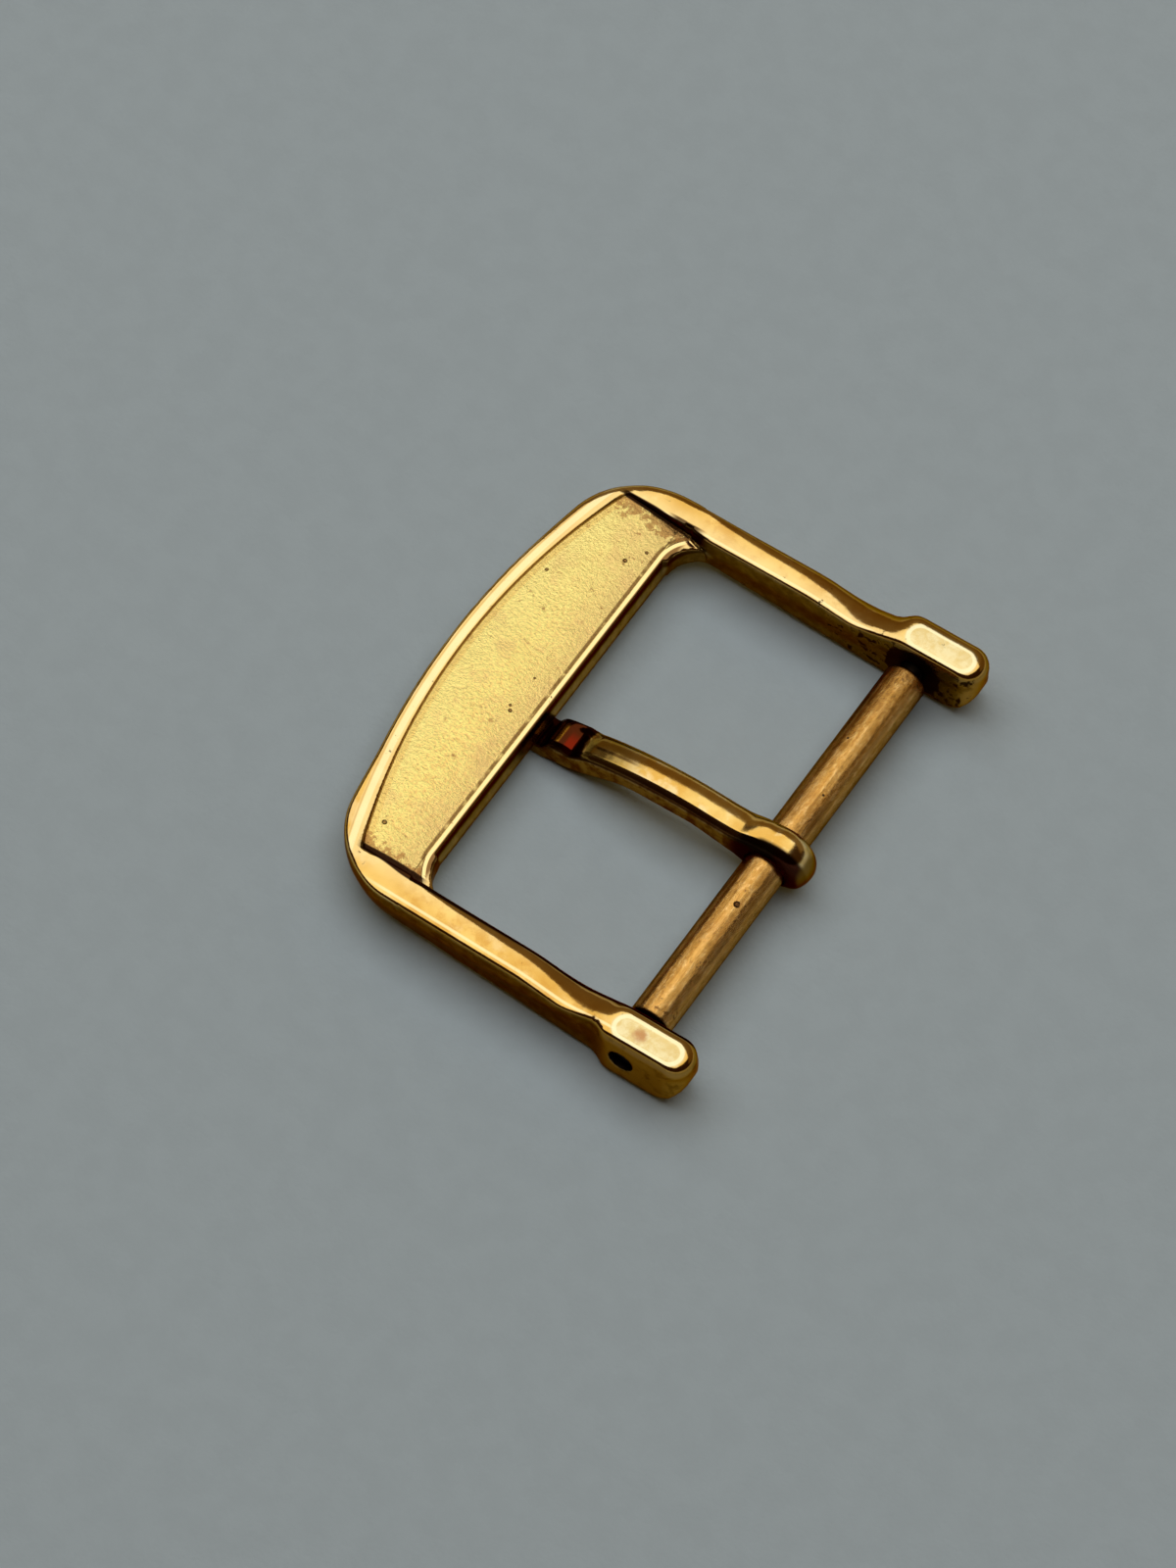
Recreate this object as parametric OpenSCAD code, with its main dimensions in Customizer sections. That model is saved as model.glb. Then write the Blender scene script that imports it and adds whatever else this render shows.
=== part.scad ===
// Tang buckle for a 16 mm watch strap, lying face down as it was photographed.
// The frame is one casting, and the tongue hangs on a sprung bar between its two lugs.
// Origin: the middle of the bar's axis. X runs from the plate to the bar, Y along the bar,
// and Z out of the buckle's back, so the polished front faces down.

/* [Strap and bar] */

// Strap width that the buckle takes between its lugs
strap_w = 16; // [12:0.5:24]
// Free space between the strap and each lug
strap_play = 0.2; // [0.05:0.05:0.5]
// Outside diameter of the bar's tube
tube_d = 1.5; // [1.2:0.1:2]
// Wall of the bar's tube
tube_wall = 0.2; // [0.15:0.05:0.3]
// Gap between each end of the tube and the lug beside it
tube_gap = 0.35; // [0.2:0.05:0.8]
// Diameter of the pin tips that stand in the lugs
pin_d = 0.8; // [0.6:0.05:1]
// Running clearance of a pin or the tongue's loop, on the radius
run_fit = 0.04; // [0.02:0.01:0.1]

/* [Frame outline] */

// Distance from the bar's axis to the middle of the plate's outer edge
plate_reach = 13.45; // [12:0.05:18]
// Radius of the plate's bowed outer edge
outer_bow = 28; // [20:1:60]
// Distance from the bar's axis to the inner edge of the plate
window_reach = 9.1; // [7:0.05:12]
// Radius of the plate's two outer corners
corner_r = 3.1; // [1:0.1:4]
// Radius in the two corners of the window
window_r = 1.3; // [0.2:0.05:1.6]
// Thickness of an arm where it leaves the plate
arm_t_plate = 1; // [0.8:0.05:2]
// Thickness of an arm just before its lug
arm_t_lug = 1.2; // [0.8:0.05:2]
// Thickness of a lug along the bar
lug_t = 1.52; // [1:0.01:2.5]

/* [Frame heights] */

// Height of the arms and the plate's border above the bar's axis
border_z = 1.12; // [0.5:0.05:1.5]
// Height of the flat on top of each lug above the bar's axis
lug_top_z = 1.22; // [0.9:0.05:1.6]
// Depth of each lug below the bar's axis
lug_low_z = 1.34; // [0.8:0.01:1.5]
// Length of a lug past the bar's axis
lug_reach = 2.4; // [1.5:0.05:3]
// Lowest point of the plate's front, below the bar's axis
front_z = 0.45; // [0.3:0.05:1]
// Radius of the front's curve from the inner edge to the outer edge
front_bow = 13; // [8:0.5:30]
// Radius of the front's curve along the bar
front_crown = 125; // [60:5:400]
// Depth of an arm's underside below the bar's axis, before the lug
arm_low_z = 1.1; // [0.6:0.05:1.4]
// Depth of an arm's underside below the bar's axis, at the plate
corner_low_z = 0.5; // [0.2:0.05:0.9]

/* [Back panel] */

// Width of the polished border outside the panel, in the middle of the bow
border_w = 0.55; // [0.4:0.05:1.5]
// Radius of the panel's outer edge, rounder than the bow, so the border widens to its ends
panel_edge = 24; // [18:0.5:60]
// Depth of the panel below the border, at the outer edge
panel_step = 0.06; // [0.02:0.01:0.2]
// Radius of the panel's curve down to the inner edge
panel_bow = 13; // [8:0.5:40]
// Width of the polished lip along the inner edge
lip_w = 0.34; // [0.1:0.01:0.4]
// Height of the lip above the panel
lip_h = 0.05; // [0.02:0.01:0.1]

/* [Tongue] */

// Width of the tongue
tongue_w = 1.3; // [0.8:0.05:2]
// Distance that the tongue stands from the middle of the bar
tongue_shift = 0.4; // [0:0.1:3]
// Wall of the loop above the bar
loop_wall = 0.56; // [0.3:0.01:0.8]
// Wall of the loop below the bar
loop_under = 0.18; // [0.12:0.01:0.6]
// Wall of the loop past the bar
loop_end = 0.6; // [0.3:0.01:0.8]
// Height of the tongue's back at its highest
tongue_top_z = 1.13; // [0.9:0.05:1.5]
// Thickness of the tongue in its straight part
tongue_t = 1; // [0.8:0.05:1.5]
// Distance from the bar's axis to the step on the tongue's back
tongue_step_x = 7.2; // [6:0.1:8]
// Distance from the bar's axis to the end of the tip under the plate
tongue_reach = 10.3; // [9.5:0.1:12]
// Thickness of the thin tip that passes under the plate
tip_t = 0.55; // [0.3:0.01:0.9]

/* [Spring bar] */

// Depth that a pin's tip stands in its lug
pin_in_lug = 1.3; // [0.6:0.05:1.5]
// Length of the shoulder that keeps a pin in the tube
shoulder_l = 1; // [0.6:0.1:2]
// Length of the turned-in collar at each end of the tube
collar_l = 0.25; // [0.15:0.05:0.5]
// Thickness of the spring's wire
wire_d = 0.16; // [0.1:0.01:0.2]
// Number of turns in the spring
spring_turns = 18; // [10:1:24]

/* [Hidden] */

$fn = 64;
gold = [0.93, 0.72, 0.38];
rose = [0.86, 0.58, 0.36];
steel = [0.7, 0.7, 0.72];

lug_in = strap_w / 2 + strap_play;
lug_out = lug_in + lug_t;
arm_out_plate = lug_in + arm_t_plate;
arm_out_lug = lug_in + arm_t_lug;
bore_d = pin_d + 2 * run_fit;
tube_half = lug_in - tube_gap;
tube_bore = tube_d - 2 * tube_wall;
shoulder_out = tube_half - collar_l;
spring_half = shoulder_out - shoulder_l;
shoulder_r = tube_bore / 2 - run_fit;
coil_r = shoulder_r - wire_d / 2 - 0.02;
pin_end = lug_in + pin_in_lug;
loop_bore = tube_d + 2 * run_fit;
loop_top = loop_bore / 2 + loop_wall;
loop_r = (loop_bore + loop_wall + loop_under) / 2;
loop_centre = [loop_bore / 2 + loop_end - loop_r, 0, loop_top - loop_r];
panel_centre = [panel_edge + border_w - plate_reach, 0];
block = 40;
step_x = -1.35;
rise_l = 0.8;
seat_gap = 0.03;

// Points of an arc round a centre, from one angle to another
function arc(centre, r, from, to, steps) =
    [for (i = [0:steps]) let (a = from + (to - from) * i / steps) centre + r * [cos(a), sin(a)]];

// Points of a smooth S from one point to another, level at both ends
function ease(from, to, steps = 8) =
    [for (i = [0:steps])
        let (t = i / steps, rise = t * t * (3 - 2 * t))
        [from.x + (to.x - from.x) * t, from.y + (to.y - from.y) * rise]];

// Half of a shape and its mirror image across the X axis, as one outline
function both_sides(half) = concat(half, [for (i = [len(half) - 1:-1:0]) [half[i].x, -half[i].y]]);

// Solid with an outline in X and Z, centred along Y
module along_y(width) {
    rotate([90, 0, 0]) linear_extrude(width, center = true) children();
}

// Solid with an outline in Y and Z, from one X to another
module along_x(from, to) {
    translate([from, 0, 0]) rotate([90, 0, 90]) linear_extrude(to - from) children();
}

// Solid cylinder along Y between two places
module rod_y(r, from, to) {
    translate([0, from, 0]) rotate([-90, 0, 0]) cylinder(r = r, h = to - from);
}

// Centres of the plate's bowed edge and of its far corner, and how far the bow turns
bow_centre = [outer_bow - plate_reach, 0];
corner_y = arm_out_plate - corner_r;
bow_turn = asin(corner_y / (outer_bow - corner_r));
corner_x = bow_centre.x - (outer_bow - corner_r) * cos(bow_turn);
arm_turn = atan((arm_out_lug - arm_out_plate) / -corner_x);

// Cross-section from an inner place to a rounded outer edge
module edge_section(out, inner = 0) {
    top_r = 0.32;
    polygon(concat(
        [[inner, -block / 2], [inner, border_z]],
        arc([out - top_r, border_z - top_r], top_r, 90, 0, 8),
        [[out, -block / 2]]
    ));
}

// Body with the frame's outer shape, round along its top edge, before its front is shaped
module rim() {
    proud = 0.01;
    intersection() {
        translate(bow_centre) rotate_extrude($fn = 240) edge_section(outer_bow);
        linear_extrude(2 * block, center = true)
            translate(bow_centre)
                polygon([[0, 0], for (side = [-1, 1]) 2 * block * [-cos(bow_turn), side * sin(bow_turn)]]);
    }
    for (side = [0, 1]) mirror([0, side, 0]) {
        translate([corner_x, corner_y, 0]) rotate_extrude($fn = 96) edge_section(corner_r + proud);
        translate([corner_x, arm_out_plate, 0])
            rotate([0, 0, arm_turn])
                along_x(0, -corner_x) translate([-arm_out_plate, 0]) edge_section(arm_out_plate, -1);
    }
}

// Window between the arms, open towards the bar
module window_outline() {
    polygon(both_sides(concat(
        arc([window_r - window_reach, lug_in - window_r], window_r, 180, 90, 8),
        [[block, lug_in]]
    )));
}

// Outline of the sunk panel, cut short of the inner edge by a given width
module panel_outline(short) {
    corner = 2;
    past_corner = 1.2;
    turn = asin((lug_in - past_corner) / (panel_edge - corner));
    centre = [panel_centre.x - (panel_edge - corner) * cos(turn), lug_in - past_corner];
    polygon(both_sides(concat(
        arc(panel_centre, panel_edge, 180, 180 - turn, 10),
        arc(centre, corner, 180 - turn, 180 - asin(past_corner / corner), 6),
        [[-window_reach - short, lug_in]]
    )));
}

// Everything above the panel's curved floor, raised by a given height
module above_panel(raise) {
    level_in = 0.7;
    difference() {
        translate([-block, -block / 2, -1]) cube([block, block, 5]);
        translate([level_in - plate_reach, 0, border_z - panel_step + raise - panel_bow])
            rotate([90, 0, 0]) cylinder(r = panel_bow, h = 2 * block, center = true, $fn = 180);
    }
}

// Outline of the far lug seen from above, from its step on the arm to its round end
module lug_outline() {
    end_r = 0.78;
    nick_r = 0.7;
    polygon(concat(
        [[step_x, lug_in]],
        ease([step_x, arm_out_lug], [step_x + rise_l, lug_out], 8),
        arc([lug_reach - end_r, lug_out - end_r], end_r, 90, 0, 8),
        arc([lug_reach - nick_r, lug_in + nick_r], nick_r, 0, -90, 8)
    ));
}

// Side view of the arms and lugs, from the plate's corner to the lug's round end
module rail_profile() {
    dip = 0.24;
    dip_l = 2.2;
    dip_x = -2.25;
    top_rise_x = -2.05;
    top_rise_l = 1.7;
    low_rise_l = 1.8;
    edge_low_z = 0.5;
    end_r = 0.7;
    low_r = 1.85;
    polygon(concat(
        [[-plate_reach, border_z]],
        ease([dip_x - dip_l, border_z], [dip_x, border_z - dip]),
        ease([top_rise_x, border_z - dip], [top_rise_x + top_rise_l, lug_top_z]),
        arc([lug_reach - end_r, lug_top_z - end_r], end_r, 90, 0, 8),
        arc([lug_reach - low_r, low_r - lug_low_z], low_r, 0, -90, 10),
        ease([0, -lug_low_z], [-low_rise_l, -arm_low_z], 6),
        [[-window_reach, -corner_low_z], [-plate_reach, edge_low_z]]
    ));
}

// Section of a far arm or lug with its long edges rounded
module rail_section(out, top, round_r, low_r) {
    low = -lug_low_z;
    polygon(concat(
        arc([lug_in + round_r, top - round_r], round_r, 180, 90, 6),
        out > block ? [[out, top], [out, low]] : arc([out - round_r, top - round_r], round_r, 90, 0, 6),
        out > block ? [] : arc([out - low_r, low + low_r], low_r, 0, -90, 6),
        arc([lug_in + low_r, low + low_r], low_r, -90, -180, 6)
    ));
}

// Barrel that gives the plate its domed front
module front_barrel() {
    lowest_in = 0.2;
    half_w = lug_out + 1;
    turn = asin(half_w / front_crown);
    translate([-window_reach - lowest_in, 0, front_bow - front_z])
        rotate([90, 0, 0])
            rotate_extrude($fn = 120)
                polygon(concat(
                    [[0, -half_w]],
                    arc([front_bow - front_crown, 0], front_crown, -turn, turn, 24),
                    [[0, half_w]]
                ));
}

// Cross-section of the plate: its inner wall leans back to the lip and its lower edge is round
module plate_profile() {
    edge_r = 0.35;
    lean = 0.14;
    upright_z = 0.3;
    wall_x = -window_reach - lean;
    polygon(concat(
        arc([-window_reach - edge_r, edge_r - front_z], edge_r, -90, 0, 6),
        [[wall_x, upright_z], [wall_x, block], [-block, block], [-block, -front_z]]
    ));
}

// Web that fills the far corner between plate and arm, for the window to cut its round corner in
module corner_web() {
    sunk = 0.3;
    raised = 0.05;
    translate([-window_reach - sunk, lug_in - window_r, raised - front_z])
        cube([window_r + sunk, window_r + sunk, border_z]);
}

module buckle_frame() {
    past_web = 0.1;
    color(gold) difference() {
        union() {
            for (side = [0, 1]) mirror([0, side, 0]) corner_web();
            intersection() {
                rim();
                along_y(block) plate_profile();
                front_barrel();
            }
            intersection() {
                rim();
                along_y(block) rail_profile();
                for (side = [0, 1]) mirror([0, side, 0])
                    along_x(-block / 2, -1) rail_section(2 * block, border_z, 0.25, 0.1);
            }
            for (side = [0, 1]) mirror([0, side, 0]) intersection() {
                linear_extrude(block, center = true) lug_outline();
                along_y(block) rail_profile();
                along_x(-block / 2, block / 2) rail_section(lug_out, lug_top_z, 0.4, 0.4);
            }
        }
        linear_extrude(block, center = true) window_outline();
        intersection() {
            linear_extrude(block, center = true) panel_outline(lip_w);
            above_panel(0);
        }
        intersection() {
            linear_extrude(block, center = true) panel_outline(-window_r - past_web);
            above_panel(lip_h);
        }
        rod_y(bore_d / 2, -block / 2, block / 2);
    }
}

// Side view of the tongue: a thick back, a low tip and a thin toe under the plate
module tongue_profile() {
    low = tongue_top_z - tongue_t;
    toe_top = -front_z - seat_gap;
    toe_low = toe_top - tip_t;
    back_r = 13;
    back_x = 3.4;
    nose_r = 0.34;
    neck_z = tongue_top_z - 0.08;
    root_z = -0.75 * loop_bore / 2;
    polygon(concat(
        [[loop_centre.x, loop_top]],
        ease([-0.5, loop_top - 0.1], [-1.3, neck_z], 6),
        ease([-1.7, neck_z], [-back_x, tongue_top_z], 6),
        arc([-back_x, tongue_top_z - back_r], back_r, 90, 90 + asin((tongue_step_x - back_x) / back_r), 8),
        [[-tongue_step_x - 0.15, low + 0.27], [-tongue_step_x - 0.7, low + 0.11]],
        arc([nose_r - window_reach + 0.31, low - nose_r], nose_r, 80, 170, 6),
        [[0.12 - window_reach, toe_top]],
        arc([tip_t / 2 - tongue_reach, toe_top - tip_t / 2], tip_t / 2, 90, 270, 6),
        ease([0.7 - window_reach, toe_low], [2 - tongue_step_x, low - 0.08], 10),
        [[0.5 - back_x, low - 0.02], [-1, -0.3], [-0.6, root_z], [0, root_z]]
    ));
}

module tongue() {
    color(gold) translate([0, -tongue_shift, 0]) difference() {
        union() {
            translate(loop_centre) rod_y(loop_r, -tongue_w / 2, tongue_w / 2);
            along_y(tongue_w) tongue_profile();
        }
        rod_y(loop_bore / 2, -tongue_w, tongue_w);
    }
}

// Profile of the tube: an open bore with a turned-in collar at each end
module bar_tube() {
    collar = pin_d / 2 + run_fit;
    end_r = 0.12;
    inside = [[collar, tube_half], [collar, shoulder_out], [tube_bore / 2, shoulder_out]];
    color(rose) rotate([90, 0, 0]) rotate_extrude() polygon(concat(
        arc([tube_d / 2 - end_r, end_r - tube_half], end_r, -90, 0, 4),
        arc([tube_d / 2 - end_r, tube_half - end_r], end_r, 0, 90, 4),
        both_sides(inside)
    ));
}

// One pin of the bar, for the far side: stub, shoulder and a tip with a round end
module bar_pin() {
    end_r = 0.15;
    stub_l = 0.8;
    stub_r = coil_r - wire_d / 2 - 2 * run_fit;
    rotate([-90, 0, 0]) rotate_extrude() polygon(concat(
        [[0, spring_half - stub_l], [stub_r, spring_half - stub_l], [stub_r, spring_half]],
        [[shoulder_r, spring_half], [shoulder_r, shoulder_out], [pin_d / 2, shoulder_out]],
        arc([pin_d / 2 - end_r, pin_end - end_r], end_r, 0, 90, 5),
        [[0, pin_end]]
    ));
}

module far_pin() {
    color(steel) bar_pin();
}

module near_pin() {
    color(steel) mirror([0, 1, 0]) bar_pin();
}

// Open coil of wire between the two shoulders, swept along a helix
module bar_spring() {
    steps = 10;
    sides = 5;
    climb = 2 * spring_half - wire_d;
    last = spring_turns * steps;
    points = [for (i = [0:last], k = [0:sides - 1])
        let (
            a = 360 * i / steps,
            b = 360 * k / sides,
            r = coil_r + wire_d / 2 * cos(b)
        )
        [r * cos(a), -climb / 2 + climb * i / last + wire_d / 2 * sin(b), r * sin(a)]];
    walls = [for (i = [0:last - 1], k = [0:sides - 1], half = [0, 1])
        let (p = i * sides + k, q = i * sides + (k + 1) % sides)
        half == 0 ? [p, q, p + sides] : [q, q + sides, p + sides]];
    ends = [for (k = [1:sides - 2], end = [0, 1])
        end == 0 ? [0, k + 1, k] : [last * sides, last * sides + k, last * sides + k + 1]];
    color(steel) polyhedron(points, concat(walls, ends));
}

buckle_frame();
tongue();
bar_tube();
bar_spring();
near_pin();
far_pin();
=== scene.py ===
import math

import bpy
import numpy as np
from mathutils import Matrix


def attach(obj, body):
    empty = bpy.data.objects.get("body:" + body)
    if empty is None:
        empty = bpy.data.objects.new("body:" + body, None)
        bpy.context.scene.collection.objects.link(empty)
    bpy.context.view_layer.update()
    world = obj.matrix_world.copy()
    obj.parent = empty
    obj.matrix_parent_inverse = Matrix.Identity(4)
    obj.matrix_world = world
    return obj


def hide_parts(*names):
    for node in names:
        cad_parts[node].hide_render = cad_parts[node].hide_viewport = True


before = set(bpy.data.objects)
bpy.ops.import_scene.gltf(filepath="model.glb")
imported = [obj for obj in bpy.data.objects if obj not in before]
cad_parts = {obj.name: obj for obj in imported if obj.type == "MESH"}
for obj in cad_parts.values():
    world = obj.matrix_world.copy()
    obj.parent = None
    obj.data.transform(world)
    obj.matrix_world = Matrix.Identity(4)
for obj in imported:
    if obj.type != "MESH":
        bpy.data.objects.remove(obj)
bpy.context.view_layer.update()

mm = 0.001
pi = math.pi
tiny = 1e-6
weldReach = 0.0004
weightLevels = 16


# Small helpers: every piece is modelled in millimetres and shrunk to metres at the end

def pickOnly(obj):
    if bpy.context.object and bpy.context.object.mode != "OBJECT":
        bpy.ops.object.mode_set(mode="OBJECT")
    bpy.ops.object.select_all(action="DESELECT")
    obj.select_set(True)
    bpy.context.view_layer.objects.active = obj


def editAll(obj):
    pickOnly(obj)
    bpy.ops.object.mode_set(mode="EDIT")
    bpy.ops.mesh.select_all(action="SELECT")


def leaveEdit():
    bpy.ops.object.mode_set(mode="OBJECT")


def turnFacesOut():
    bpy.ops.mesh.select_all(action="SELECT")
    bpy.ops.mesh.normals_make_consistent(inside=False)
    leaveEdit()


def applyModifier(obj, kind, **settings):
    pickOnly(obj)
    added = obj.modifiers.new(kind.title(), kind)
    for key, value in settings.items():
        setattr(added, key, value)
    bpy.ops.object.modifier_apply(modifier=added.name)


def scaleMesh(obj, factor):
    editAll(obj)
    bpy.ops.transform.resize(value=(factor, factor, factor), center_override=(0, 0, 0))
    leaveEdit()


def copyOfNode(node, name):
    # a merged copy of a CAD node, in millimetres; the node itself is left alone
    obj = bpy.data.objects.new(name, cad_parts[node].data.copy())
    bpy.context.scene.collection.objects.link(obj)
    scaleMesh(obj, 1 / mm)
    editAll(obj)
    bpy.ops.mesh.remove_doubles(threshold=weldReach)
    leaveEdit()
    return obj


def pointsOf(obj):
    flat = np.empty(len(obj.data.vertices) * 3, np.float32)
    obj.data.vertices.foreach_get("co", flat)
    return flat.reshape(-1, 3).astype(float)


def movePoints(obj, points):
    obj.data.vertices.foreach_set("co", points.astype(np.float32).ravel())
    obj.data.update()


def weightGroup(obj, name, weights):
    # a vertex group from one weight per point, in a few levels
    group = obj.vertex_groups.new(name=name)
    levels = np.round(np.clip(weights, 0, 1) * weightLevels).astype(int)
    for level in range(1, weightLevels + 1):
        chosen = np.nonzero(levels == level)[0]
        if len(chosen):
            group.add(chosen.tolist(), level / weightLevels, "REPLACE")


def smoothBy(obj, name, weights, times):
    weightGroup(obj, name, weights)
    applyModifier(obj, "SMOOTH", factor=0.5, iterations=times, vertex_group=name)


def ramp(value, low, high):
    # 0 at the low value, 1 at the high one, smooth between; also works the other way round
    t = np.clip((value - low) / (high - low), 0, 1)
    return t * t * (3 - 2 * t)


def roundEdge(inward, drop, width, depth):
    # draws points near a long edge onto an elliptic rounding of it, width across and depth down
    wallBand, least = 0.12, 0.3  # points of the wall are set flush, and deep ones aren't thrown far
    u, v = (width - inward) / width, (depth - drop) / depth
    reach = np.where((u > 0) & (v > 0), np.maximum(np.hypot(u, v), least), 1)
    newInward = np.where(v > 0, width - width * u / reach, np.where(inward < wallBand, 0, inward))
    newDrop = np.where(u > 0, depth - depth * v / reach, 0)
    return np.where(u > 0, newInward, inward), np.where(v > 0, newDrop, drop)


def finishPiece(obj, finish, body, node):
    # back to metres, smooth shading, its finish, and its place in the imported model
    scaleMesh(obj, mm)
    bpy.ops.object.shade_smooth()
    obj.data.materials.clear()
    obj.data.materials.append(finish)
    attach(obj, body)
    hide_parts(node)


# Materials: arithmetic on a signal adds Math nodes, and every other node comes from Finish.node

class Signal:
    def __init__(self, finish, socket):
        self.finish = finish
        self.socket = socket

    def math(self, operation, first, second=0.0):
        return self.finish.node("ShaderNodeMath", {"operation": operation}, {0: first, 1: second})

    def __add__(self, other):
        return self.math("ADD", self, other)

    def __radd__(self, other):
        return self.math("ADD", other, self)

    def __sub__(self, other):
        return self.math("SUBTRACT", self, other)

    def __rsub__(self, other):
        return self.math("SUBTRACT", other, self)

    def __mul__(self, other):
        return self.math("MULTIPLY", self, other)

    def __rmul__(self, other):
        return self.math("MULTIPLY", other, self)

    def __pow__(self, other):
        return self.math("POWER", self, other)

    def __abs__(self):
        return self.math("ABSOLUTE", self)

    def root(self):
        return self.math("SQRT", self)


class Finish:
    def __init__(self, name):
        self.material = bpy.data.materials.new(name)
        self.material.use_nodes = True
        self.tree = self.material.node_tree
        self.tree.nodes.clear()
        place = self.node("ShaderNodeTexCoord", output="Object")
        self.place = self.node("ShaderNodeMapping", sockets={"Vector": place, "Scale": (1 / mm,) * 3})
        self.x, self.y, self.z = (self.part(self.place, axis) for axis in "XYZ")

    def node(self, kind, settings=None, sockets=None, output=0):
        made = self.tree.nodes.new(kind)
        for key, value in (settings or {}).items():
            setattr(made, key, value)
        for key, value in (sockets or {}).items():
            if isinstance(value, Signal):
                self.tree.links.new(value.socket, made.inputs[key])
            else:
                made.inputs[key].default_value = value
        return Signal(self, made.outputs[output]) if len(made.outputs) else made

    def part(self, vector, axis):
        return self.node("ShaderNodeSeparateXYZ", sockets={0: vector}, output=axis)

    def facing(self, axis):
        # how far the surface faces along an axis, from -1 to 1
        return self.part(self.node("ShaderNodeTexCoord", output="Normal"), axis)

    def step(self, value, low, high):
        # 0 below the low value, 1 above the high one, smooth between; also works the other way round
        return self.node("ShaderNodeMapRange", {"interpolation_type": "SMOOTHSTEP"},
                         {"Value": value, "From Min": low, "From Max": high})

    def band(self, value, middle, half, soft):
        # 1 within the half width of the middle, fading to 0 over the soft width
        return self.step(abs(value - middle), half + soft, half)

    def noise(self, scale, detail=3, stretch=(1, 1, 1), shift=(0, 0, 0), rough=0.5):
        where = self.node("ShaderNodeMapping", sockets={"Vector": self.place, "Location": shift,
                                                         "Scale": stretch})
        return self.node("ShaderNodeTexNoise", sockets={"Vector": where, "Scale": scale,
                                                        "Detail": detail, "Roughness": rough})

    def most(self, value, limit):
        return self.node("ShaderNodeMath", {"operation": "MAXIMUM"}, {0: value, 1: limit})

    def clip(self, value, low, high):
        return self.node("ShaderNodeClamp", sockets={"Value": value, "Min": low, "Max": high})

    def spots(self, places):
        # small soft-edged dots, each with a place and a radius
        total = 0.0
        for x, y, z, radius in places:
            total = self.step(self.near((x, y, z)), radius, radius * 0.5) + total
        return total

    def near(self, spot):
        # distance from a point of the piece, in millimetres
        return self.node("ShaderNodeVectorMath", {"operation": "DISTANCE"},
                         {0: self.place, 1: spot}, output="Value")

    def mix(self, factor, first, second):
        # a Mix node takes its two colours at sockets 6 and 7
        first, second = (tone if isinstance(tone, Signal) else (*tone, 1) for tone in (first, second))
        return self.node("ShaderNodeMix", {"data_type": "RGBA"}, {0: factor, 6: first, 7: second}, output=2)

    def lay(self, colour, tones, masks):
        # lays named colours over the first one after another, each by its own mask
        for name, mask in masks.items():
            colour = self.mix(mask, colour, tones[name])
        return colour

    def bump(self, height, distance, normal=None):
        sockets = {"Height": height, "Distance": distance}
        if normal:
            sockets["Normal"] = normal
        return self.node("ShaderNodeBump", sockets=sockets)

    def metal(self, colour, roughness, normal, metallic=1.0, edge=(1, 1, 1)):
        shader = self.node("ShaderNodeBsdfPrincipled",
                           sockets={"Base Color": colour, "Roughness": roughness, "Normal": normal,
                                    "Metallic": metallic, "Specular Tint": (*edge, 1)})
        self.node("ShaderNodeOutputMaterial", sockets={"Surface": shader})
        return self.material


# Camera at the photograph's viewing angle

cameraSetup = {
    "place": (0.061428, -0.103890, 0.212934),
    "turn": (30.0, 0.0, 33.652),
    "lens": 168.57,
    "clip": (0.01, 10),
}
bpy.ops.object.camera_add(location=cameraSetup["place"],
                          rotation=[math.radians(a) for a in cameraSetup["turn"]])
camera = bpy.context.object
camera.data.lens = cameraSetup["lens"]
camera.data.clip_start, camera.data.clip_end = cameraSetup["clip"]
bpy.context.scene.camera = camera
print("camera done")


# Floor, backdrop and light

studio = {
    "floorColour": (0.565, 0.668, 0.705),
    "floorLow": -0.00136,  # height of the floor under the bar
    "floorTilt": 1.69,  # the buckle rests on its lugs and on the tongue's toe
    "floorSize": 6.0,
    "floorCloud": 0.97,  # the floor's darker clouds, as a share of its colour
    "backdropRadius": 2.6,
    "backdropHeight": 0.6,
    "backdropColour": (0.75, 0.78, 0.79),
    "backdropLevel": 0.5,
    "boxHeight": 0.45,
    "boxSpanX": (-0.95, 0.56),  # how far the overhead box reaches each way, as a share of its height
    "boxSpanY": (-0.36, 0.72),
    "boxLevel": 1.25,
    "roomColour": (0.035, 0.016, 0.005),
    "cardColour": (1.0, 0.7, 0.3),  # dim card standing behind the buckle
    "cardLevel": 0.13,
    "cardPlace": (-0.1, 0.64, 0.328),
    "cardTilt": 22.4,
    "cardSize": (1.8, 0.67),
}


def makeFloor():
    bpy.ops.mesh.primitive_plane_add(size=studio["floorSize"], location=(0, 0, studio["floorLow"]),
                                     rotation=(0, math.radians(studio["floorTilt"]), 0))
    floor = bpy.context.object
    floor.name = "floor"
    look = Finish("floorPaper")
    speck = look.noise(0.9, detail=4)
    colour = look.mix(look.step(speck, 0.35, 0.65),
                      [part * studio["floorCloud"] for part in studio["floorColour"]], studio["floorColour"])
    grain = look.bump(look.noise(4.0, detail=2), 2e-5)
    floor.data.materials.append(look.metal(colour, 0.9, grain, metallic=0.0))


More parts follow.
